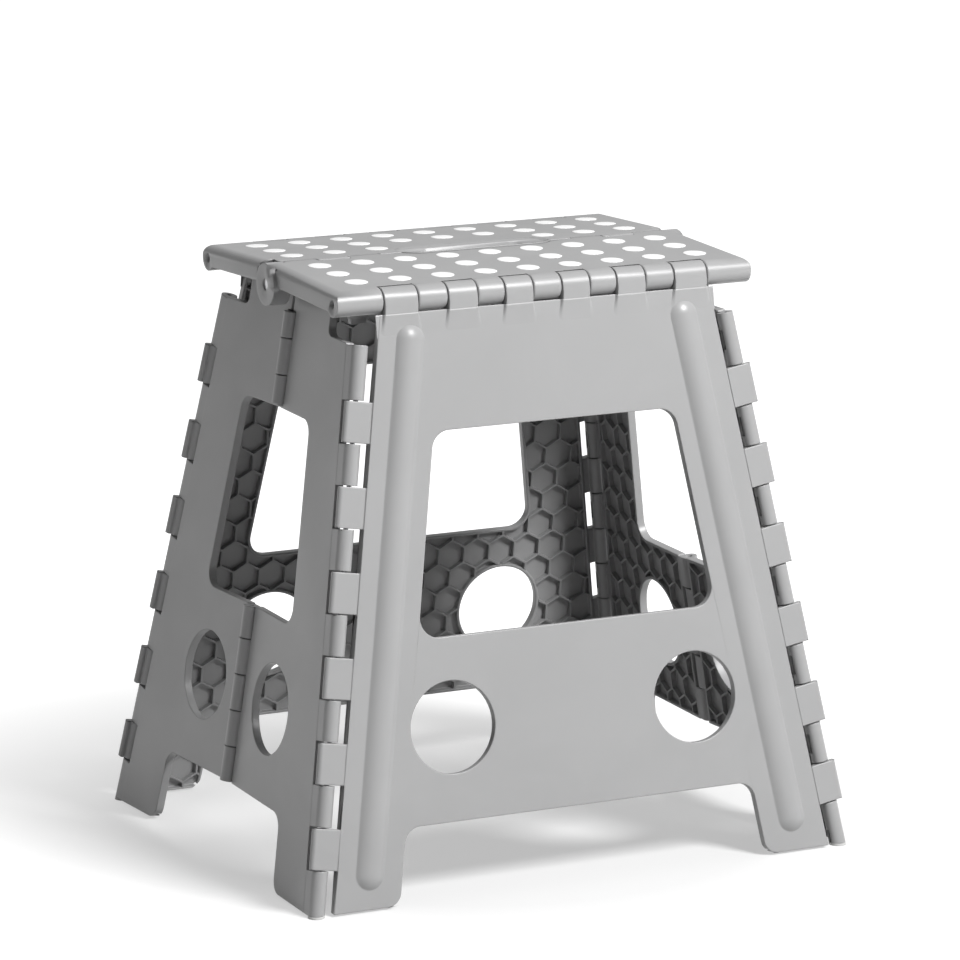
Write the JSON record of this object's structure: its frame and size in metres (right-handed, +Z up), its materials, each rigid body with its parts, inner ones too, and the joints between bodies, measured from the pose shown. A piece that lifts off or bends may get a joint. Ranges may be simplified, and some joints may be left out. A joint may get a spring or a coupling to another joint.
{
  "type": "folding step stool",
  "caption": "Folding step stool: two-leaf ribbed step with dotted grip on front and back panels and two sides that fold inward, joined by interleaved knuckle hinges; shown slightly unfolded.",
  "frame": {"origin": "on the floor, under the middle of the stool", "axes": "+Z up; +X along the step's length; -Y toward the front, where the slot of the step lies behind the middle"},
  "size_m": [0.3924, 0.3278, 0.3937],
  "materials": {
    "body_grey": "satin",
    "dot_white": "matte",
    "pin_steel": "satin",
    "pad_rubber": "matte"
  },
  "bodies": {
    "front_panel": {"front_panel": "body_grey", "front_panel_ribs": "body_grey"},
    "back_panel": {"back_panel": "body_grey", "back_panel_ribs": "body_grey"},
    "left_side_front": {"left_side_front": "body_grey", "left_side_front_ribs": "body_grey", "left_front_corner_pin": "pin_steel", "left_side_fold_pins": "pin_steel", "left_front_foot_pad": "pad_rubber"},
    "left_side_back": {"left_side_back": "body_grey", "left_side_back_ribs": "body_grey", "left_back_corner_pin": "pin_steel", "left_back_foot_pad": "pad_rubber"},
    "right_side_front": {"right_side_front": "body_grey", "right_side_front_ribs": "body_grey", "right_front_corner_pin": "pin_steel", "right_side_fold_pins": "pin_steel", "right_front_foot_pad": "pad_rubber"},
    "right_side_back": {"right_side_back": "body_grey", "right_side_back_ribs": "body_grey", "right_back_corner_pin": "pin_steel", "right_back_foot_pad": "pad_rubber"},
    "step_front_leaf": {"step_front_leaf": "body_grey", "step_front_ribs": "body_grey", "front_leaf_dots": "dot_white", "centre_hinge_pins": "pin_steel", "front_edge_pin": "pin_steel"},
    "step_back_leaf": {"step_back_leaf": "body_grey", "step_back_ribs": "body_grey", "back_leaf_dots": "dot_white", "back_edge_pin": "pin_steel"}
  },
  "joints": [
    {"name": "left_side_fold", "type": "hinge", "parent": "left_side_front", "child": "left_side_back", "pos_m": [-0.12888, 0, 0.38238], "axis": [0.1566, 0, 0.9877], "range_deg": [-4.4, 170.8]},
    {"name": "left_front_corner_hinge", "type": "hinge", "parent": "front_panel", "child": "left_side_front", "pos_m": [-0.1276, -0.09754, 0.3815], "axis": [-0.1613, -0.1544, -0.9748], "range_deg": [-2.25, 86.81]},
    {"name": "left_back_corner_hinge", "type": "hinge", "parent": "left_side_back", "child": "back_panel", "pos_m": [-0.1276, 0.09754, 0.3815], "axis": [-0.1613, 0.1544, -0.9748], "range_deg": [-2.25, 86.81]},
    {"name": "right_front_corner_hinge", "type": "hinge", "parent": "front_panel", "child": "right_side_front", "pos_m": [0.1276, -0.09754, 0.3815], "axis": [-0.1613, 0.1544, 0.9748], "range_deg": [-2.25, 86.81]},
    {"name": "right_back_corner_hinge", "type": "hinge", "parent": "back_panel", "child": "right_side_back", "pos_m": [0.1276, 0.09754, 0.3815], "axis": [0.1613, 0.1544, -0.9748], "range_deg": [-2.25, 86.81]},
    {"name": "front_leaf_hinge", "type": "hinge", "parent": "front_panel", "child": "step_front_leaf", "pos_m": [0, -0.09764, 0.3815], "axis": [1, 0, 0], "range_deg": [-2, 77.09]},
    {"name": "back_leaf_hinge", "type": "hinge", "parent": "back_panel", "child": "step_back_leaf", "pos_m": [0, 0.09764, 0.3815], "axis": [-1, 0, 0], "range_deg": [-2, 77.09]}
  ],
  "couplings": [
    {"joint": "left_front_corner_hinge", "follows": "left_side_fold", "ratio": 0.50819},
    {"joint": "left_back_corner_hinge", "follows": "left_side_fold", "ratio": 0.50819},
    {"joint": "right_front_corner_hinge", "follows": "left_side_fold", "ratio": 0.50819},
    {"joint": "right_back_corner_hinge", "follows": "left_side_fold", "ratio": 0.50819},
    {"joint": "front_leaf_hinge", "follows": "left_side_fold", "ratio": 0.45127},
    {"joint": "back_leaf_hinge", "follows": "left_side_fold", "ratio": 0.45127}
  ]
}
